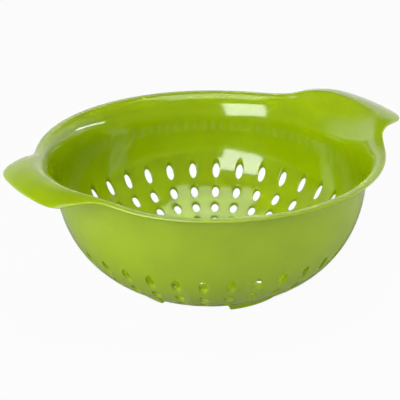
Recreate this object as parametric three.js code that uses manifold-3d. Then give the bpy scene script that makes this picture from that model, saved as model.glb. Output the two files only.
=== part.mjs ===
// A moulded plastic colander: a round bowl with a flared rim, two opposite tab handles,
// rows of drain holes through the lower wall and the floor, and four arc-shaped feet.
// Millimetres, +Z up. The origin is on the resting surface, below the middle of the bowl.
// +X runs through the middle of the right handle.

import * as THREE from 'three';
import { mergeGeometries, mergeVertices } from 'three/addons/utils/BufferGeometryUtils.js';
import Module from 'manifold-3d';

// Bowl
const RIM_RADIUS = 120;
const RIM_HEIGHT = 96;
const WALL = 2;
const BASE_RADIUS = 58;
// Degrees that the wall leans outward at its top.
const WALL_TAPER = 4.3;
// How far the wall's curve is pulled straight at its top and flat at its foot, 0 to 1.
const SIDE_FULLNESS = 0.75;
const BASE_FULLNESS = 0.128;

// Flared rim: it spreads outward over its width and height, and ends in a lip that lies level
// along the rim and droops at the handles.
// The slopes are in degrees, and the fullness says how round the flare is at its two ends, 0 to 1.
const FLARE_WIDTH = 12.6;
const FLARE_HEIGHT = 22;
const FLARE_FULLNESS = 0.5;
const CREST_FULLNESS = 0.45;
const RIM_LIP = 4.5;
const LIP_SLOPE = 15;
const CREST_SLOPE = 10;

// Handles: the flare runs on as a scoop of SCOOP_SLOPE degrees up to a crest that stands outside
// the rim, and the lip reaches outward past it.
const HANDLE_REACH = 27.5;
const HANDLE_WIDTH = 86;
const HANDLE_RISE = 9;
const SCOOP_SLOPE = 20;
const RISE_WIDTH = 96;
const ROOT_WIDTH = 134;
const CREST_WIDTH = 84;
const CREST_OUTSIDE_RIM = 8;
const CORNER_SHARPNESS = 8.5;
const RISE_SHARPNESS = 6;
const CREST_SHARPNESS = 5;

// Drain holes: moulded straight down, so each one is an upright ellipse. The rows share the
// rounded part of the wall, and a hole is as long as its row leaves it.
const HOLE_ROWS = 4;
const HOLES_PER_ROW = 34;
const HOLE_WIDTH = 5.6;
const ROW_WEB = 2.9;
const FIRST_ROW_GAP = 9.4;
const LAST_ROW_GAP = 6.4;
const PLAIN_BAND = 16;
const FLOOR_HOLE_WEB = 8;
const FLOOR_ROW_INSET = 8;

// Feet: each one is an arc of FOOT_ANGLE degrees.
const FOOT_COUNT = 4;
const FOOT_HEIGHT = 5.8;
const FOOT_WIDTH = 6;
const FOOT_SETBACK = 0.5;
const FOOT_ANGLE = 41;

// Fineness of the facets
const BOWL_FACETS = 2 * HOLES_PER_ROW;
const CURVE_SAMPLES = 240;
const HOLE_SIDES = 8;
const UPPER_WALL_RINGS = 3;
const FLARE_STEPS = 7;
const LIP_STEPS = 4;
const HANDLE_STEPS = 26;
const RIM_STEPS = 22;
const FOOT_STEPS = 8;
const MERGE_DISTANCE = 1e-5;

const radians = THREE.MathUtils.degToRad;
const lerp = THREE.MathUtils.lerp;

// Heights and radii that follow from the driving dimensions
const baseHeight = FOOT_HEIGHT;
const floorTop = baseHeight + WALL;
const flareStart = RIM_HEIGHT - FLARE_HEIGHT;
const bandBottom = flareStart - PLAIN_BAND;
const wallTopRadius = RIM_RADIUS - FLARE_WIDTH;
const footOuter = BASE_RADIUS - FOOT_SETBACK;
const footInner = footOuter - FOOT_WIDTH;

// The outside of the wall is one curve from the flat base up to the flare, as (radius, height).
// The inside lies one wall thickness away from it, square to the curve.
const wallCurve = new THREE.CubicBezierCurve(
  new THREE.Vector2(BASE_RADIUS, baseHeight),
  new THREE.Vector2(lerp(BASE_RADIUS, wallTopRadius, BASE_FULLNESS), baseHeight),
  new THREE.Vector2(
    wallTopRadius - Math.tan(radians(WALL_TAPER)) * SIDE_FULLNESS * (flareStart - baseHeight),
    lerp(flareStart, baseHeight, SIDE_FULLNESS),
  ),
  new THREE.Vector2(wallTopRadius, flareStart),
);
const outside = [];
const inside = [];
for (let i = 0; i <= CURVE_SAMPLES; i += 1) {
  const point = wallCurve.getPoint(i / CURVE_SAMPLES);
  const along = wallCurve.getTangent(i / CURVE_SAMPLES);
  outside.push(point);
  inside.push(new THREE.Vector2(point.x - along.y * WALL, point.y + along.x * WALL));
}

// Reads a curve whose points rise steadily in both coordinates: `to` at the place where `from` is value.
function readCurve(points, from, to, value) {
  let i = 1;
  while (i < points.length - 1 && points[i][from] < value) i += 1;
  const share = (value - points[i - 1][from]) / (points[i][from] - points[i - 1][from]);
  return lerp(points[i - 1][to], points[i][to], share);
}
const outsideRadius = (height) => readCurve(outside, 'y', 'x', height);
const insideRadius = (height) => readCurve(inside, 'y', 'x', height);
const outsideHeight = (radius) => readCurve(outside, 'x', 'y', radius);
const insideHeight = (radius) => readCurve(inside, 'x', 'y', radius);

const wasm = await Module();
wasm.setup();

function toSolid(geometry) {
  const bare = geometry.clone();
  bare.deleteAttribute('normal');
  bare.deleteAttribute('uv');
  const merged = mergeVertices(bare, MERGE_DISTANCE);
  return new wasm.Manifold(new wasm.Mesh({
    numProp: 3,
    vertProperties: new Float32Array(merged.attributes.position.array),
    triVerts: new Uint32Array(merged.index.array),
  }));
}

function toGeometry(solid) {
  const mesh = solid.getMesh();
  const geometry = new THREE.BufferGeometry();
  geometry.setAttribute('position', new THREE.BufferAttribute(mesh.vertProperties, 3));
  geometry.setIndex(new THREE.BufferAttribute(mesh.triVerts, 1));
  geometry.computeVertexNormals();
  return geometry;
}

// Turns a closed outline of (radius, height) about Z. A facet, not an edge, faces every hole.
function turned(outline) {
  const geometry = new THREE.LatheGeometry([...outline, outline[0].clone()], BOWL_FACETS);
  geometry.rotateX(Math.PI / 2);
  geometry.rotateZ(Math.PI / BOWL_FACETS);
  return geometry;
}

// Sweeps closed sections of (radius, height) around Z, one section per angle, and caps both ends.
function swept(sections, angles) {
  const count = sections[0].length;
  const positions = [];
  const index = [];
  sections.forEach((section, i) => section.forEach((point) => {
    positions.push(point.x * Math.cos(angles[i]), point.x * Math.sin(angles[i]), point.y);
  }));
  for (let i = 0; i < sections.length - 1; i += 1) {
    for (let j = 0; j < count; j += 1) {
      const near = i * count + j;
      const next = i * count + (j + 1) % count;
      index.push(near, near + count, next, next, near + count, next + count);
    }
  }
  const last = (sections.length - 1) * count;
  for (const [a, b, c] of THREE.ShapeUtils.triangulateShape(sections[0], [])) index.push(a, b, c);
  for (const [a, b, c] of THREE.ShapeUtils.triangulateShape(sections.at(-1), [])) {
    index.push(last + a, last + c, last + b);
  }
  const geometry = new THREE.BufferGeometry();
  geometry.setAttribute('position', new THREE.Float32BufferAttribute(positions, 3));
  geometry.setIndex(index);
  return geometry;
}

// One upright drain hole, long along the radius.
function drainHole(radius, angle, length, width) {
  const height = 2 * RIM_HEIGHT;
  const prism = new THREE.CylinderGeometry(0.5, 0.5, height, HOLE_SIDES);
  prism.rotateX(Math.PI / 2);
  prism.rotateZ(Math.PI / HOLE_SIDES);
  prism.scale(length, width, 1);
  prism.translate(radius, 0, 0);
  prism.rotateZ(angle);
  return prism;
}

function ringOfHoles(radius, count, length, width) {
  const holes = [];
  for (let i = 0; i < count; i += 1) {
    holes.push(drainHole(radius, (i * 2 * Math.PI) / count, length, width));
  }
  return holes;
}

function pierced(geometry, holes) {
  return toGeometry(toSolid(geometry).subtract(toSolid(mergeGeometries(holes))));
}

// Floor: a flat disc with rings of round holes inside the feet.
function bowlFloor() {
  const outline = [
    new THREE.Vector2(0, baseHeight),
    new THREE.Vector2(BASE_RADIUS, baseHeight),
    new THREE.Vector2(BASE_RADIUS, floorTop),
    new THREE.Vector2(0, floorTop),
  ];
  const pitch = HOLE_WIDTH + FLOOR_HOLE_WEB;
  const holes = [];
  for (let radius = footInner - FLOOR_ROW_INSET; radius > pitch / 2; radius -= pitch) {
    const count = Math.floor((2 * Math.PI * radius) / pitch);
    holes.push(...ringOfHoles(radius, count, HOLE_WIDTH, HOLE_WIDTH));
  }
  return pierced(turned(outline), holes);
}

// Lower wall: it rounds up from the floor, and each row of holes has one band of flat facets.
function perforatedWall() {
  const topRadius = insideRadius(bandBottom);
  const firstRow = BASE_RADIUS + FIRST_ROW_GAP;
  const pitch = (topRadius - LAST_ROW_GAP - firstRow) / (HOLE_ROWS - 1);
  const lowest = firstRow - pitch / 2;
  const rings = [BASE_RADIUS, (BASE_RADIUS + lowest) / 2, lowest];
  const holes = [];
  for (let i = 0; i < HOLE_ROWS; i += 1) {
    const row = firstRow + i * pitch;
    rings.push(row + pitch / 2);
    holes.push(...ringOfHoles(row, HOLES_PER_ROW, pitch - ROW_WEB, HOLE_WIDTH));
  }
  const outline = rings.map((radius) => new THREE.Vector2(radius, outsideHeight(radius)));
  outline.push(new THREE.Vector2(outsideRadius(bandBottom), bandBottom));
  outline.push(new THREE.Vector2(topRadius, bandBottom));
  for (const radius of rings.toReversed()) {
    outline.push(new THREE.Vector2(radius, insideHeight(radius)));
  }
  return pierced(turned(outline), holes);
}

// Upper wall: the plain band between the holes and the flare.
function upperWall() {
  const outline = [];
  for (let i = 0; i <= UPPER_WALL_RINGS; i += 1) {
    const height = lerp(bandBottom, flareStart, i / UPPER_WALL_RINGS);
    outline.push(new THREE.Vector2(outsideRadius(height), height));
  }
  for (let i = UPPER_WALL_RINGS; i >= 0; i -= 1) {
    const height = lerp(bandBottom, flareStart, i / UPPER_WALL_RINGS);
    outline.push(new THREE.Vector2(insideRadius(height), height));
  }
  return turned(outline);
}

// Falls from 1 at the middle of a handle to 0 along the rim; one half at halfAngle.
function fade(angle, halfAngle, sharpness) {
  return 1 / (1 + (Math.abs(angle) / halfAngle) ** sharpness);
}

// The rim's section at an angle from the nearest handle's middle: up the flare to the crest,
// along the lip, which bends down towards its edge, and back along the underside one wall
// thickness away.
function rimSection(angle) {
  const handleAngle = Math.asin(HANDLE_WIDTH / 2 / (RIM_RADIUS + HANDLE_REACH / 2));
  const riseAngle = Math.asin(RISE_WIDTH / 2 / RIM_RADIUS);
  const crestAngle = Math.asin(CREST_WIDTH / 2 / RIM_RADIUS);
  const edgeRadius = RIM_RADIUS + HANDLE_REACH * fade(angle, handleAngle, CORNER_SHARPNESS);
  const rise = fade(angle, riseAngle, RISE_SHARPNESS);
  const shift = (CREST_OUTSIDE_RIM + RIM_LIP) * fade(angle, crestAngle, CREST_SHARPNESS);
  const crest = new THREE.Vector2(
    Math.min(edgeRadius, RIM_RADIUS + shift) - RIM_LIP,
    RIM_HEIGHT + HANDLE_RISE * rise,
  );
  const reach = Math.max(edgeRadius - RIM_RADIUS - CREST_OUTSIDE_RIM, 0);
  const drop = reach * Math.tan(radians(LIP_SLOPE)) * rise;
  const start = new THREE.Vector2(insideRadius(flareStart), flareStart);
  const crestSlope = Math.tan(radians(lerp(CREST_SLOPE, SCOOP_SLOPE, rise)));
  const flare = new THREE.CubicBezierCurve(
    start,
    new THREE.Vector2(
      start.x + (crest.y - start.y) * FLARE_FULLNESS * Math.tan(radians(WALL_TAPER)),
      lerp(start.y, crest.y, FLARE_FULLNESS),
    ),
    new THREE.Vector2(
      lerp(crest.x, start.x, CREST_FULLNESS),
      crest.y - (crest.x - start.x) * CREST_FULLNESS * crestSlope,
    ),
    crest,
  );
  const top = flare.getPoints(FLARE_STEPS);
  for (let i = 1; i <= LIP_STEPS; i += 1) {
    const share = i / LIP_STEPS;
    top.push(new THREE.Vector2(lerp(crest.x, edgeRadius, share), crest.y - drop * share * share));
  }
  const underside = top.map((point, i) => {
    const before = top[Math.max(i - 1, 0)];
    const after = top[Math.min(i + 1, top.length - 1)];
    const along = after.clone().sub(before).normalize();
    return new THREE.Vector2(point.x + along.y * WALL, point.y - along.x * WALL);
  });
  underside[0] = new THREE.Vector2(outsideRadius(flareStart), flareStart);
  return [...underside, ...top.toReversed()];
}

// A stretch of the rim between two angles from the middle of the handle that stands at `middle`.
function rimStretch(middle, from, to, steps) {
  const sections = [];
  const angles = [];
  for (let i = 0; i <= steps; i += 1) {
    const angle = lerp(from, to, i / steps);
    sections.push(rimSection(angle > Math.PI / 2 ? Math.PI - angle : angle));
    angles.push(middle + angle);
  }
  return swept(sections, angles);
}

// One foot: an arc-shaped block under the edge of the floor.
function foot(middle) {
  const half = radians(FOOT_ANGLE) / 2;
  const shape = new THREE.Shape();
  shape.absarc(0, 0, footOuter, middle - half, middle + half, false);
  shape.absarc(0, 0, footInner, middle + half, middle - half, true);
  return new THREE.ExtrudeGeometry(shape, {
    depth: FOOT_HEIGHT,
    bevelEnabled: false,
    curveSegments: FOOT_STEPS,
  });
}

const colander = new THREE.Group();

function addPiece(name, geometry) {
  const material = new THREE.MeshStandardMaterial({ color: '#9dbb14', roughness: 0.22, metalness: 0 });
  const piece = new THREE.Mesh(geometry, material);
  piece.name = name;
  colander.add(piece);
}

addPiece('bowl_floor', bowlFloor());
addPiece('perforated_wall', perforatedWall());
addPiece('upper_wall', upperWall());

const rootAngle = Math.asin(ROOT_WIDTH / 2 / RIM_RADIUS);
const handles = { right_handle: 0, left_handle: Math.PI };
for (const [name, middle] of Object.entries(handles)) {
  addPiece(name, rimStretch(middle, -rootAngle, rootAngle, HANDLE_STEPS));
}
const rims = { back_rim: 0, front_rim: Math.PI };
for (const [name, middle] of Object.entries(rims)) {
  addPiece(name, rimStretch(middle, rootAngle, Math.PI - rootAngle, RIM_STEPS));
}

const footNames = ['right_foot', 'back_foot', 'left_foot', 'front_foot'];
for (let i = 0; i < FOOT_COUNT; i += 1) {
  addPiece(footNames[i] ?? `foot_${i + 1}`, foot((i * 2 * Math.PI) / FOOT_COUNT));
}

export default colander;
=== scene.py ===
import math

import bmesh
import bpy
import numpy as np
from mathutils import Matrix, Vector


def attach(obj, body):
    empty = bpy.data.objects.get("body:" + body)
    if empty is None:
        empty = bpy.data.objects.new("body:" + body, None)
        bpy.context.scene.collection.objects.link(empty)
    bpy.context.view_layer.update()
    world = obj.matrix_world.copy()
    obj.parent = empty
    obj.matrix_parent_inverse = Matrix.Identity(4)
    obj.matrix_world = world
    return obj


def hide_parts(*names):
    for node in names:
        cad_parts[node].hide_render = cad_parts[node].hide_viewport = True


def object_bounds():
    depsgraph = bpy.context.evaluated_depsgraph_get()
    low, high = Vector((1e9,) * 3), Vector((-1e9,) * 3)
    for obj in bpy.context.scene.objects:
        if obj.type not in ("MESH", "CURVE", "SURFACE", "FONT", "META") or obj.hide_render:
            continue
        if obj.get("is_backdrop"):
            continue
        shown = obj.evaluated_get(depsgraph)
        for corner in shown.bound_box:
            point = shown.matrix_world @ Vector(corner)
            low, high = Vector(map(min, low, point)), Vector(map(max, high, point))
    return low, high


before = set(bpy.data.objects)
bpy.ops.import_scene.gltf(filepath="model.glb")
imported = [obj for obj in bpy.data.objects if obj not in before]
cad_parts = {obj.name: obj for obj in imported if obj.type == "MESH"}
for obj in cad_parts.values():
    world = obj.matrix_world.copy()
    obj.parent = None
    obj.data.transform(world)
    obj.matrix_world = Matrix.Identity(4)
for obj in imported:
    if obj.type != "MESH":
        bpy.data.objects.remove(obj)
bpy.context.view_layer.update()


# Bowl wall with its flared rim and two tab handles. The real piece is one compression moulding in
# melamine resin: a 2 mm shell that rounds up from the floor, turns outward at the rim and reaches
# out to a handle at both ends, with the drain holes moulded through it straight down.

# The sizes of the pieces are in millimetres, and MM turns them into metres.
MM = 0.001
WALL = 2.0
BASE_RADIUS = 58.0
BASE_HEIGHT = 5.8
RIM_RADIUS = 120.0
RIM_HEIGHT = 96.0
FLARE_START = 74.0
WALL_TOP_RADIUS = 107.4
WALL_TAPER = math.radians(4.3)
SIDE_FULLNESS = 0.75
BASE_FULLNESS = 0.128
CURVE_SAMPLES = 3001

RIM_LIP = 4.5
LIP_SLOPE = math.radians(15)
CREST_SLOPE = math.radians(10)
SCOOP_SLOPE = math.radians(20)
FLARE_FULLNESS = 0.5
CREST_FULLNESS = 0.45
CREST_ROUNDING = 1.2
CREST_ROUNDING_SHARE = 0.45
LIP_EDGE = 1.6

HANDLE_REACH = 27.5
HANDLE_WIDTH = 86.0
HANDLE_RISE = 9.0
RISE_WIDTH = 96.0
CREST_WIDTH = 84.0
CREST_OUTSIDE_RIM = 8.0
CORNER_SHARPNESS = 8.5
RISE_SHARPNESS = 6
CREST_SHARPNESS = 5
HANDLE_ANGLE = math.asin(HANDLE_WIDTH / 2 / (RIM_RADIUS + HANDLE_REACH / 2))
RISE_ANGLE = math.asin(RISE_WIDTH / 2 / RIM_RADIUS)
CREST_ANGLE = math.asin(CREST_WIDTH / 2 / RIM_RADIUS)

HOLES_PER_ROW = 34
HOLE_ROWS = 4
FIRST_ROW = 67.4
LAST_ROW = 96.4
HOLE_WIDTH = 5.6
HOLE_LENGTH = 6.77
HOLE_ROUNDING = 0.8


def bezier(points, share):
    a, b, c, d = (np.array(point, dtype=float) for point in points)
    s = np.asarray(share, dtype=float)[..., None]
    return a * (1 - s) ** 3 + 3 * b * s * (1 - s) ** 2 + 3 * c * s ** 2 * (1 - s) + d * s ** 3


def mix(a, b, share):
    return a + (b - a) * share


# The outside of the wall as (radius, height), and the inside one wall thickness away from it.
outside = bezier(
    [
        (BASE_RADIUS, BASE_HEIGHT),
        (mix(BASE_RADIUS, WALL_TOP_RADIUS, BASE_FULLNESS), BASE_HEIGHT),
        (
            WALL_TOP_RADIUS - math.tan(WALL_TAPER) * SIDE_FULLNESS * (FLARE_START - BASE_HEIGHT),
            mix(FLARE_START, BASE_HEIGHT, SIDE_FULLNESS),
        ),
        (WALL_TOP_RADIUS, FLARE_START),
    ],
    np.linspace(0, 1, CURVE_SAMPLES),
)
run = np.gradient(outside, axis=0)
run /= np.linalg.norm(run, axis=1)[:, None]
inside = outside + WALL * np.stack((-run[:, 1], run[:, 0]), axis=1)


def inside_height(radius):
    return np.interp(radius, inside[:, 0], inside[:, 1])


def outside_height(radius):
    return np.interp(radius, outside[:, 0], outside[:, 1])


def polar(radius, angle, height):
    """The place in metres of a point given in millimetres."""
    return radius * math.cos(angle) * MM, radius * math.sin(angle) * MM, height * MM


def deselect_all():
    bpy.ops.object.select_all(action="DESELECT")


def select(*pieces):
    """Selects these pieces alone, and makes the first one active."""
    deselect_all()
    for piece in pieces:
        piece.select_set(True)
    bpy.context.view_layer.objects.active = pieces[0]


def edit_all():
    """Opens the active piece in edit mode, with all of it selected."""
    bpy.ops.object.mode_set(mode="EDIT")
    bpy.ops.mesh.select_all(action="SELECT")


# One cell of the wall with its drain hole: a circle is extruded loop by loop from the web outside,
# round the edge and up through the hole, to the web inside. In the cell's own square, -1 to 1 each
# way, every loop is a distance along the same 24 directions, so neighbouring cells meet exactly.
CELL_SIDES = 24
CELL_STEP = 2 * math.pi / CELL_SIDES
row_pitch = (LAST_ROW - FIRST_ROW) / (HOLE_ROWS - 1)
half_cell_angle = math.pi / HOLES_PER_ROW


def place_loop(mesh, row, grow, web, face, lift):
    """Moves the selected loop to the hole's edge widened by grow, and web of the way to the cell's.

    It then lies lift above the wall's face, which is inside_height or outside_height.
    """
    long_half = (HOLE_LENGTH / 2 + grow) / (row_pitch / 2)
    wide_half = (HOLE_WIDTH / 2 + grow) / (half_cell_angle * row)
    shape = bmesh.from_edit_mesh(mesh)
    for corner in shape.verts:
        if not corner.select:
            continue
        x, y = corner.co.x / MM, corner.co.y / MM
        across = (math.hypot(x, y) - row) / (row_pitch / 2)
        along = math.atan2(y, x) / half_cell_angle
        turn = round(math.atan2(along, across) / CELL_STEP) * CELL_STEP
        c, s = math.cos(turn), math.sin(turn)
        reach = mix(1 / math.hypot(c / long_half, s / wide_half), 1 / max(abs(c), abs(s)), web)
        radius = row + reach * c * row_pitch / 2
        corner.co = polar(radius, reach * s * half_cell_angle, face(radius) + lift)
    bmesh.update_edit_mesh(mesh)


# A hole's rounded edge in four points, each as how much wider than the hole and how deep below the
# face. The web between the hole and its cell's edge is divided once.
QUARTER_ROUND = ((1.0, 0.0), (0.45, 0.13), (0.13, 0.45), (0.0, 1.0))
WEB_MIDDLE = 0.45
round_edge = [(wide * HOLE_ROUNDING, deep * HOLE_ROUNDING) for wide, deep in QUARTER_ROUND]
loops = (
    [(HOLE_ROUNDING, web, outside_height, 0.0) for web in (1.0, WEB_MIDDLE)]
    + [(wide, 0.0, outside_height, deep) for wide, deep in round_edge]
    + [(wide, 0.0, inside_height, -deep) for wide, deep in reversed(round_edge)]
    + [(HOLE_ROUNDING, web, inside_height, 0.0) for web in (WEB_MIDDLE, 1.0)]
)
cells = []
for number in range(HOLE_ROWS):
    row = FIRST_ROW + number * row_pitch
    deselect_all()
    bpy.ops.mesh.primitive_circle_add(
        vertices=CELL_SIDES, radius=HOLE_WIDTH / 2 * MM, location=(row * MM, 0, 0),
    )
    cell = bpy.context.object
    bpy.ops.object.transform_apply(location=True, rotation=False, scale=False)
    edit_all()
    place_loop(cell.data, row, *loops[0])
    for loop in loops[1:]:
        bpy.ops.mesh.extrude_edges_move()
        place_loop(cell.data, row, *loop)
    bpy.ops.object.mode_set(mode="OBJECT")
    cells.append(cell)

select(*cells)
bpy.ops.object.join()
wall = cells[0]
edit_all()
bpy.ops.mesh.spin(
    steps=HOLES_PER_ROW - 1,
    dupli=True,
    angle=2 * math.pi * (HOLES_PER_ROW - 1) / HOLES_PER_ROW,
    center=(0, 0, 0),
    axis=(0, 0, 1),
)
bpy.ops.object.mode_set(mode="OBJECT")

# The directions that end on one side of a cell's square, an eighth of a turn to each hand, give the
# angles that the plain bands of the wall have to share with the cells.
CELL_EIGHTH = CELL_SIDES // 8
side = [math.tan(CELL_STEP * step) for step in range(-CELL_EIGHTH, CELL_EIGHTH)]
wall_angles = np.array(
    [
        (2 * hole + share) * half_cell_angle
        for hole in range(HOLES_PER_ROW)
        for share in side
    ]
    + [0.0]
)
wall_angles[-1] = wall_angles[0] + 2 * math.pi
columns = len(wall_angles) - 1


def rolled(name, columns, rows, point):
    """A flat grid whose corners are put in place one by one, and whose two ends then meet."""
    deselect_all()
    bpy.ops.mesh.primitive_grid_add(x_subdivisions=columns, y_subdivisions=rows, size=2)
    band = bpy.context.object
    band.name = name
    for corner in band.data.vertices:
        column = round((corner.co.x + 1) / 2 * columns)
        line = round((corner.co.y + 1) / 2 * rows)
        corner.co = point(column, line)
    return band


# Foot of the wall: the plain ring between the flat floor and the lowest row of holes.
FOOT_RINGS = 6
low_radius = FIRST_ROW - row_pitch / 2
ring_radii = np.linspace(low_radius, BASE_RADIUS, FOOT_RINGS + 1)
foot_section = [(radius, outside_height(radius)) for radius in ring_radii]
foot_section += [(radius, inside_height(radius)) for radius in ring_radii[::-1]]


def foot_point(column, line):
    radius, height = foot_section[line]
    return polar(radius, wall_angles[column], height)


wall_foot = rolled("wall_foot", columns, len(foot_section) - 1, foot_point)


# Upper wall, flare, crest, lip and handles: one section that changes with the angle from a handle.
UPPER_STEPS = 10
FLARE_STEPS = 14
CREST_STEPS = 4
LIP_STEPS = 5
NOSE_STEPS = 6
EDGE_SAMPLES = 7201
high_radius = LAST_ROW + row_pitch / 2


def fade(angle, half, sharpness):
    return 1 / (1 + (abs(angle) / half) ** sharpness)


def edge_radius(angle):
    return RIM_RADIUS + HANDLE_REACH * fade(angle, HANDLE_ANGLE, CORNER_SHARPNESS)


def from_handle(angle):
    """The angle from the middle of the nearest handle."""
    return abs((angle + math.pi / 2) % math.pi - math.pi / 2)


def upper_band(curve):
    start = np.interp(high_radius, curve[:, 0], np.arange(len(curve)))
    steps = np.linspace(start, len(curve) - 1, UPPER_STEPS + 1)
    return np.stack([np.interp(steps, np.arange(len(curve)), curve[:, i]) for i in (0, 1)], axis=1)


inner_band = upper_band(inside)
outer_band = upper_band(outside)


def rim_section(angle):
    """The closed section at an angle from the handle, up the inside and down the outside."""
    edge_r = edge_radius(angle)
    rise = fade(angle, RISE_ANGLE, RISE_SHARPNESS)
    shift = (CREST_OUTSIDE_RIM + RIM_LIP) * fade(angle, CREST_ANGLE, CREST_SHARPNESS)
    crest = np.array([
        min(edge_r, RIM_RADIUS + shift) - RIM_LIP,
        RIM_HEIGHT + HANDLE_RISE * rise,
    ])
    start = inside[-1]
    crest_slope = math.tan(mix(CREST_SLOPE, SCOOP_SLOPE, rise))
    curve = [
        start,
        (
            start[0] + (crest[1] - start[1]) * FLARE_FULLNESS * math.tan(WALL_TAPER),
            mix(start[1], crest[1], FLARE_FULLNESS),
        ),
        (
            mix(crest[0], start[0], CREST_FULLNESS),
            crest[1] - (crest[0] - start[0]) * CREST_FULLNESS * crest_slope,
        ),
        crest,
    ]
    lip_length = edge_r - crest[0]
    reach = max(edge_r - RIM_RADIUS - CREST_OUTSIDE_RIM, 0)
    drop = reach * math.tan(LIP_SLOPE) * rise

    # The flare and the lip stop short of the crest, where a small turn rounds it. Near its end a
    # cubic curve moves at three times the length of its last leg.
    rounding = min(CREST_ROUNDING, CREST_ROUNDING_SHARE * lip_length)
    cut = 1 - rounding / (3 * np.linalg.norm(crest - np.array(curve[2])))
    nose = LIP_EDGE / 2
    share = np.linspace(rounding / lip_length, 1 - nose / lip_length, LIP_STEPS + 1)
    lip = np.stack((crest[0] + lip_length * share, crest[1] - drop * share ** 2), axis=1)
    flare = bezier(curve, np.linspace(0, cut, FLARE_STEPS + 1))
    s = np.linspace(0, 1, CREST_STEPS + 1)[1:, None]
    turn = flare[-1] * (1 - s) ** 2 + 2 * crest * s * (1 - s) + lip[0] * s ** 2
    top = np.concatenate((flare, turn, lip[1:]))

    # The underside follows square below, thinner towards the edge, which ends in a round nose.
    way = np.gradient(top, axis=0)
    way /= np.linalg.norm(way, axis=1)[:, None]
    way[0] = run[-1]
    square = np.stack((way[:, 1], -way[:, 0]), axis=1)
    last = len(top) - 1
    thickness = np.interp(np.arange(len(top)), [0, FLARE_STEPS, last], [WALL, WALL, LIP_EDGE])
    below = top + square * thickness[:, None]
    out = way[-1]
    down = square[-1]
    middle = top[-1] + down * nose
    bend = np.linspace(0, math.pi, NOSE_STEPS + 1)[1:-1, None]
    round_nose = middle + nose * (out * np.sin(bend) - down * np.cos(bend))
    return np.concatenate((inner_band[:-1], top, round_nose, below[::-1], outer_band[:-1][::-1]))


# The rim's edge is longer at the handles, so its corners are spread evenly along the edge, and the
# lines of the section swing over from the wall's angles to the edge's on their way up the flare.
fine = np.linspace(0, 2 * math.pi, EDGE_SAMPLES)
fine_edge = np.array([edge_radius(from_handle(angle)) for angle in fine])
steps = np.hypot(np.diff(fine_edge * np.cos(fine)), np.diff(fine_edge * np.sin(fine)))
length = np.concatenate(([0], np.cumsum(steps)))
edge_angles = np.interp(wall_angles % (2 * math.pi) / (2 * math.pi) * length[-1], length, fine)
edge_angles += wall_angles - wall_angles % (2 * math.pi)

top_count = FLARE_STEPS + CREST_STEPS + LIP_STEPS + 1
top_swing = np.interp(np.arange(top_count), [0, FLARE_STEPS], [0, 1])
swing = np.concatenate((
    np.zeros(UPPER_STEPS),
    top_swing,
    np.ones(NOSE_STEPS - 1),
    top_swing[::-1],
    np.zeros(UPPER_STEPS),
))
swing = swing * swing * (3 - 2 * swing)


def rim_point(column, line):
    angle = mix(wall_angles[column], edge_angles[column], swing[line])
    radius, height = rim_section(from_handle(angle))[line]
    return polar(radius, angle, height)


rim = rolled("rim", columns, len(swing) - 1, rim_point)

WALL_WELD = 0.02
WALL_SMOOTHING = math.radians(50)
select(wall, wall_foot, rim)
bpy.ops.object.join()
edit_all()
bpy.ops.mesh.remove_doubles(threshold=WALL_WELD * MM)
bpy.ops.mesh.normals_make_consistent(inside=False)
bpy.ops.object.mode_set(mode="OBJECT")
bpy.ops.object.shade_smooth_by_angle(angle=WALL_SMOOTHING)
wall.name = "bowl_wall"
wall.data.name = "bowl_wall"


def hex_color(text):
    """An sRGB hex colour as the linear RGBA that a shader's socket takes."""
    parts = [int(text[i:i + 2], 16) / 255 for i in (1, 3, 5)]
    return [c / 12.92 if c <= 0.04045 else ((c + 0.055) / 1.055) ** 2.4 for c in parts] + [1]


def add_node(tree, kind, links=(), **settings):
    """Adds a node: settings name its properties or sockets, and links are (socket, source)."""
    node = tree.nodes.new(kind)
    for key, value in settings.items():
        if key in node.bl_rna.properties:
            setattr(node, key, value)
        else:
            node.inputs[key.replace("_", " ")].default_value = value
    for socket, source in links:
        tree.links.new(source, node.inputs[socket])
    return node


# Melamine resin, compression moulded in a polished steel tool: a dense coloured plastic with a hard
# glaze-like gloss. Up close the gloss has the tool's faint ripple and the dull spots of use, and
# the colour a slight cloudiness from the pigment in the moulding powder.
CLOUD_SIZE = 22 * MM
CLOUD_DARK = "#90AB02"
CLOUD_LIGHT = "#97B303"
SCUFF_SIZE = 6 * MM
POLISHED_ROUGHNESS = 0.07
SCUFFED_ROUGHNESS = 0.12
RIPPLE_SIZE = 9 * MM
RIPPLE_DEPTH = 0.012 * MM
NOISE_LOW = 0.3
NOISE_HIGH = 0.7
melamine = bpy.data.materials.new("melamine_moulded_lime")
melamine.use_nodes = True
tree = melamine.node_tree
tree.nodes.clear()
place = add_node(tree, "ShaderNodeTexCoord").outputs["Object"]
cloud = add_node(
    tree, "ShaderNodeTexNoise", [("Vector", place)],
    Scale=1 / CLOUD_SIZE, Detail=3.0, Roughness=0.55,
)
tint = add_node(tree, "ShaderNodeValToRGB", [("Fac", cloud.outputs["Fac"])])
tint.color_ramp.elements[0].position = NOISE_LOW
tint.color_ramp.elements[0].color = hex_color(CLOUD_DARK)
tint.color_ramp.elements[1].position = NOISE_HIGH
tint.color_ramp.elements[1].color = hex_color(CLOUD_LIGHT)
scuff = add_node(
    tree, "ShaderNodeTexNoise", [("Vector", place)],
    Scale=1 / SCUFF_SIZE, Detail=4.0, Roughness=0.6,
)
gloss = add_node(
    tree, "ShaderNodeMapRange", [("Value", scuff.outputs["Fac"])],
    From_Min=NOISE_LOW, From_Max=NOISE_HIGH, To_Min=POLISHED_ROUGHNESS, To_Max=SCUFFED_ROUGHNESS,
)
ripple = add_node(
    tree, "ShaderNodeTexNoise", [("Vector", place)], Scale=1 / RIPPLE_SIZE, Detail=1.0,
)
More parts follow.
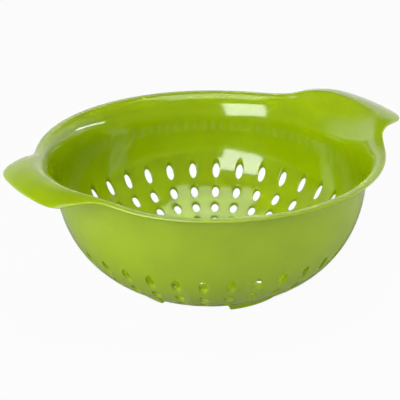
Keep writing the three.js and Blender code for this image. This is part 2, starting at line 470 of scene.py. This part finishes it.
bump = add_node(
    tree, "ShaderNodeBump", [("Height", ripple.outputs["Fac"])],
    Strength=1.0, Distance=RIPPLE_DEPTH,
)
resin = add_node(
    tree, "ShaderNodeBsdfPrincipled",
    [
        ("Base Color", tint.outputs["Color"]),
        ("Roughness", gloss.outputs["Result"]),
        ("Normal", bump.outputs["Normal"]),
    ],
    IOR=1.65,
)
add_node(tree, "ShaderNodeOutputMaterial", [("Surface", resin.outputs["BSDF"])])

wall.data.materials.clear()
wall.data.materials.append(melamine)
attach(wall, "root")
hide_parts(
    "perforated_wall", "upper_wall", "right_handle", "left_handle", "back_rim", "front_rim",
)


# Bowl floor: the flat bottom of the same moulding, with three rings of round drain holes inside the
# ring of feet. It meets the foot of the wall flush on both faces.
FLOOR_SIDES = 204
FLOOR_HOLE_PITCH = 13.6
FLOOR_OUTER_RING = 43.5
FLOOR_SMOOTHING = math.radians(20)
deselect_all()
bpy.ops.mesh.primitive_circle_add(
    vertices=FLOOR_SIDES, radius=BASE_RADIUS * MM, fill_type="NGON",
    location=(0, 0, BASE_HEIGHT * MM),
)
floor = bpy.context.object
floor.name = "bowl_floor_disc"
bpy.ops.object.transform_apply(location=True, rotation=False, scale=False)
edit_all()
bpy.ops.mesh.extrude_region_move(TRANSFORM_OT_translate={"value": (0, 0, WALL * MM)})
bpy.ops.mesh.select_all(action="SELECT")
bpy.ops.mesh.normals_make_consistent(inside=False)
bpy.ops.object.mode_set(mode="OBJECT")

# The core pin that moulds one hole: a spool that widens where it meets both faces of the floor.
PIN_OVERRUN = 0.4
pin_steps = (
    [(HOLE_ROUNDING, -PIN_OVERRUN)]
    + round_edge
    + [(wide, WALL - deep) for wide, deep in reversed(round_edge)]
    + [(HOLE_ROUNDING, WALL + PIN_OVERRUN)]
)
deselect_all()
grow, height = pin_steps[0]
bpy.ops.mesh.primitive_circle_add(
    vertices=CELL_SIDES, radius=(HOLE_WIDTH / 2 + grow) * MM, fill_type="NGON",
    location=(0, 0, (BASE_HEIGHT + height) * MM),
)
pin = bpy.context.object
bpy.ops.object.transform_apply(location=True, rotation=False, scale=False)
edit_all()
for (grow, height), (new_grow, new_height) in zip(pin_steps, pin_steps[1:]):
    bpy.ops.mesh.extrude_region_move(
        TRANSFORM_OT_translate={"value": (0, 0, (new_height - height) * MM)}
    )
    ratio = (HOLE_WIDTH / 2 + new_grow) / (HOLE_WIDTH / 2 + grow)
    bpy.ops.transform.resize(value=(ratio, ratio, 1), center_override=(0, 0, 0))
bpy.ops.mesh.select_all(action="SELECT")
bpy.ops.mesh.normals_make_consistent(inside=False)
bpy.ops.object.mode_set(mode="OBJECT")

pins = []
ring = FLOOR_OUTER_RING
while ring > FLOOR_HOLE_PITCH / 2:
    count = math.floor(2 * math.pi * ring / FLOOR_HOLE_PITCH)
    for number in range(count):
        copy = pin.copy()
        copy.data = pin.data.copy()
        copy.location = polar(ring, 2 * math.pi * number / count, 0)
        bpy.context.collection.objects.link(copy)
        pins.append(copy)
    ring -= FLOOR_HOLE_PITCH
bpy.data.objects.remove(pin)
select(*pins)
bpy.ops.object.join()
pins = bpy.context.object
bpy.ops.object.transform_apply(location=True, rotation=True, scale=True)

select(floor)
drain_holes = floor.modifiers.new("drain_holes", "BOOLEAN")
drain_holes.operation = "DIFFERENCE"
drain_holes.object = pins
bpy.ops.object.modifier_apply(modifier=drain_holes.name)
bpy.data.objects.remove(pins)
bpy.ops.object.shade_smooth_by_angle(angle=FLOOR_SMOOTHING)
floor.data.materials.clear()
floor.data.materials.append(melamine)
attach(floor, "root")
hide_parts("bowl_floor")


# Feet: four arc-shaped ribs moulded under the edge of the floor. Each one narrows slightly towards
# the table, so that it draws out of the tool, and its edges are rounded.
FOOT_NAMES = ("right_foot", "back_foot", "left_foot", "front_foot")
FOOT_OUTER = 57.5
FOOT_WIDTH = 6.0
FOOT_ANGLE = math.radians(41)
FOOT_STEPS = 14
FOOT_DRAFT = 0.25
FOOT_WELD = 0.01
FOOT_ROUNDING = 0.7
FOOT_ROUNDING_STEPS = 3
FOOT_SHARP_EDGE = math.radians(40)
FOOT_SMOOTHING = math.radians(35)
deselect_all()
bpy.ops.mesh.primitive_plane_add(size=1)
foot = bpy.context.object
for corner in foot.data.vertices:
    low = corner.co.y < 0
    outer = corner.co.x > 0
    draft = FOOT_DRAFT if low else 0.0
    radius = FOOT_OUTER - draft if outer else FOOT_OUTER - FOOT_WIDTH + draft
    corner.co = polar(radius, FOOT_ANGLE / 2, 0.0 if low else BASE_HEIGHT)
edit_all()
bpy.ops.mesh.spin(steps=FOOT_STEPS, angle=FOOT_ANGLE, center=(0, 0, 0), axis=(0, 0, 1))
bpy.ops.mesh.select_all(action="SELECT")
bpy.ops.mesh.remove_doubles(threshold=FOOT_WELD * MM)
bpy.ops.mesh.normals_make_consistent(inside=False)
bpy.ops.object.mode_set(mode="OBJECT")
rounded = foot.modifiers.new("rounded", "BEVEL")
rounded.width = FOOT_ROUNDING * MM
rounded.segments = FOOT_ROUNDING_STEPS
rounded.limit_method = "ANGLE"
rounded.angle_limit = FOOT_SHARP_EDGE
bpy.ops.object.modifier_apply(modifier=rounded.name)
bpy.ops.object.shade_smooth_by_angle(angle=FOOT_SMOOTHING)
foot.data.materials.clear()
foot.data.materials.append(melamine)
for number, name in enumerate(FOOT_NAMES):
    copy = foot.copy()
    copy.data = foot.data.copy()
    copy.name = "moulded_" + name
    bpy.context.collection.objects.link(copy)
    select(copy)
    copy.rotation_euler = (0, 0, 2 * math.pi * number / len(FOOT_NAMES))
    bpy.ops.object.transform_apply(location=True, rotation=True, scale=True)
    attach(copy, "root")
    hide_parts(name)
bpy.data.objects.remove(foot)


# Studio: a plain white table top and surround. A soft box stands beside the camera, a larger one
# hangs overhead, a narrow strip draws the streak on the flare, and small lights lift the two sides
# and the bottom of the bowl. The camera is at the photograph's angle.

# The camera sees the table white. Mirrored in the plastic it is white only well away from the bowl.
# Its lengths are in metres.
TABLE_SIZE = 6.0
TABLE_GLOW = 0.95
TABLE_NEAR = 0.12
TABLE_FAR = 0.45
deselect_all()
bpy.ops.mesh.primitive_plane_add(size=TABLE_SIZE, location=(0, 0, 0))
table = bpy.context.object
table.name = "table_top"
white = bpy.data.materials.new("white_table_top")
white.use_nodes = True
tree = white.node_tree
tree.nodes.clear()
matt = add_node(tree, "ShaderNodeBsdfDiffuse", Color=hex_color("#BEBEBE"))
glow = add_node(tree, "ShaderNodeEmission", Color=hex_color("#FFFFFF"), Strength=1.0)
rays = add_node(tree, "ShaderNodeLightPath")
mirrored = add_node(
    tree, "ShaderNodeMath",
    [(0, rays.outputs["Is Glossy Ray"]), (1, rays.outputs["Is Transmission Ray"])],
    operation="MAXIMUM",
)
place = add_node(tree, "ShaderNodeTexCoord").outputs["Object"]
reach = add_node(tree, "ShaderNodeVectorMath", [(0, place)], operation="LENGTH")
open_table = add_node(
    tree, "ShaderNodeMapRange", [("Value", reach.outputs["Value"])],
    interpolation_type="SMOOTHSTEP", From_Min=TABLE_NEAR, From_Max=TABLE_FAR,
)
mirrored = add_node(
    tree, "ShaderNodeMath", [(0, mirrored.outputs["Value"]), (1, open_table.outputs["Result"])],
    operation="MULTIPLY",
)
either = add_node(
    tree, "ShaderNodeMath", [(0, rays.outputs["Is Camera Ray"]), (1, mirrored.outputs["Value"])],
    operation="MAXIMUM",
)
lit = add_node(tree, "ShaderNodeMath", [(0, either.outputs["Value"])], operation="MULTIPLY")
lit.inputs[1].default_value = TABLE_GLOW
surface = add_node(
    tree, "ShaderNodeMixShader",
    [(0, lit.outputs["Value"]), (1, matt.outputs["BSDF"]), (2, glow.outputs["Emission"])],
)
add_node(tree, "ShaderNodeOutputMaterial", [("Surface", surface.outputs["Shader"])])
table.data.materials.append(white)
table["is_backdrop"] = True

# The camera sees the surround white. Mirrored in the plastic it is white only behind the bowl and
# low down, and a dim even room elsewhere. The limits are parts of a direction of length one: how
# far it points to the back, and how far up.
VIEW_AZIMUTH = math.radians(-34.5)
BACKDROP_SIDE_START = -0.1
BACKDROP_SIDE_END = 0.4
BACKDROP_TOP_START = 0.34
BACKDROP_TOP_END = 0.64
ROOM_LIGHT = 0.1
scene = bpy.context.scene
scene.view_settings.view_transform = "Standard"
world = bpy.data.worlds.new("white_surround")
scene.world = world
world.use_nodes = True
tree = world.node_tree
tree.nodes.clear()
rays = add_node(tree, "ShaderNodeLightPath")
mirrored = add_node(
    tree, "ShaderNodeMath",
    [(0, rays.outputs["Is Glossy Ray"]), (1, rays.outputs["Is Transmission Ray"])],
    operation="MAXIMUM",
)
way = add_node(tree, "ShaderNodeTexCoord").outputs["Generated"]
behind = add_node(tree, "ShaderNodeVectorMath", [(0, way)], operation="DOT_PRODUCT")
behind.inputs[1].default_value = (-math.sin(VIEW_AZIMUTH), math.cos(VIEW_AZIMUTH), 0)
behind = add_node(
    tree, "ShaderNodeMapRange", [("Value", behind.outputs["Value"])],
    interpolation_type="SMOOTHSTEP", From_Min=BACKDROP_SIDE_START, From_Max=BACKDROP_SIDE_END,
)
height = add_node(tree, "ShaderNodeSeparateXYZ", [("Vector", way)]).outputs["Z"]
low = add_node(
    tree, "ShaderNodeMapRange", [("Value", height), ("To Min", behind.outputs["Result"])],
    interpolation_type="SMOOTHSTEP",
    From_Min=BACKDROP_TOP_START, From_Max=BACKDROP_TOP_END, To_Max=0.0,
)
mirrored = add_node(
    tree, "ShaderNodeMath", [(0, mirrored.outputs["Value"]), (1, low.outputs["Result"])],
    operation="MULTIPLY",
)
either = add_node(
    tree, "ShaderNodeMath", [(0, rays.outputs["Is Camera Ray"]), (1, mirrored.outputs["Value"])],
    operation="MAXIMUM",
)
backdrop = add_node(tree, "ShaderNodeBackground", Color=hex_color("#FDFDFD"), Strength=1.0)
room = add_node(tree, "ShaderNodeBackground", Color=hex_color("#FFFFFF"), Strength=ROOM_LIGHT)
surround = add_node(
    tree, "ShaderNodeMixShader",
    [
        (0, either.outputs["Value"]),
        (1, room.outputs["Background"]),
        (2, backdrop.outputs["Background"]),
    ],
)
add_node(tree, "ShaderNodeOutputWorld", [("Surface", surround.outputs["Shader"])])

LIGHT_AIM = RIM_HEIGHT * MM * 0.6


def soft_light(name, azimuth, elevation, distance, width, height, power):
    """A rectangular soft light that faces the bowl's middle: degrees, metres and watts.

    An azimuth of -90 is the camera's own side, and 0 is to its right.
    """
    light = bpy.data.lights.new(name, "AREA")
    light.shape = "RECTANGLE"
    light.size = width
    light.size_y = height
    light.energy = power
    lamp = bpy.data.objects.new(name, light)
    bpy.context.collection.objects.link(lamp)
    turn = VIEW_AZIMUTH + math.radians(azimuth)
    rise = math.radians(elevation)
    lamp.location = (
        distance * math.cos(rise) * math.cos(turn),
        distance * math.cos(rise) * math.sin(turn),
        LIGHT_AIM + distance * math.sin(rise),
    )
    lamp.rotation_euler = (math.pi / 2 - rise, 0, turn + math.pi / 2)
    lamp.visible_camera = False
    return lamp


soft_light("key_box", -118, 20, 1.4, 0.8, 0.75, 14)
soft_light("overhead_box", -95, 79, 1.3, 1.3, 1.1, 10)
soft_light("side_strip", 14, 14, 1.4, 0.75, 0.05, 1.5)
soft_light("right_fill", -2, 0, 1.4, 0.9, 0.1, 12).visible_glossy = False
soft_light("left_fill", -170, 0, 1.4, 0.9, 0.1, 6.5).visible_glossy = False
bowl_spot = soft_light("bowl_spot", -90, 89, 1.3, 0.16, 0.16, 0.11)
bowl_spot.data.spread = math.radians(9)
bowl_spot.visible_glossy = False

# The camera's place and lens come from a fit to the rim and the rows of holes in the photograph.
PHOTO_SIDE = 400
FOCAL_PIXELS = 1451
SENSOR_WIDTH = 36
VIEW_DISTANCE = 1.0
VIEW_RISE = math.radians(21.89)
VIEW_PITCH = math.radians(23.92)
VIEW_YAW = math.radians(-0.45)
camera_data = bpy.data.cameras.new("camera")
camera = bpy.data.objects.new("camera", camera_data)
bpy.context.collection.objects.link(camera)
camera_data.sensor_width = SENSOR_WIDTH
camera_data.lens = FOCAL_PIXELS / PHOTO_SIDE * SENSOR_WIDTH
camera.location = (
    VIEW_DISTANCE * math.cos(VIEW_RISE) * math.sin(VIEW_AZIMUTH),
    -VIEW_DISTANCE * math.cos(VIEW_RISE) * math.cos(VIEW_AZIMUTH),
    RIM_HEIGHT * MM + VIEW_DISTANCE * math.sin(VIEW_RISE),
)
camera.rotation_euler = (math.pi / 2 - VIEW_PITCH, 0, VIEW_AZIMUTH - VIEW_YAW)
scene.camera = camera

low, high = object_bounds()
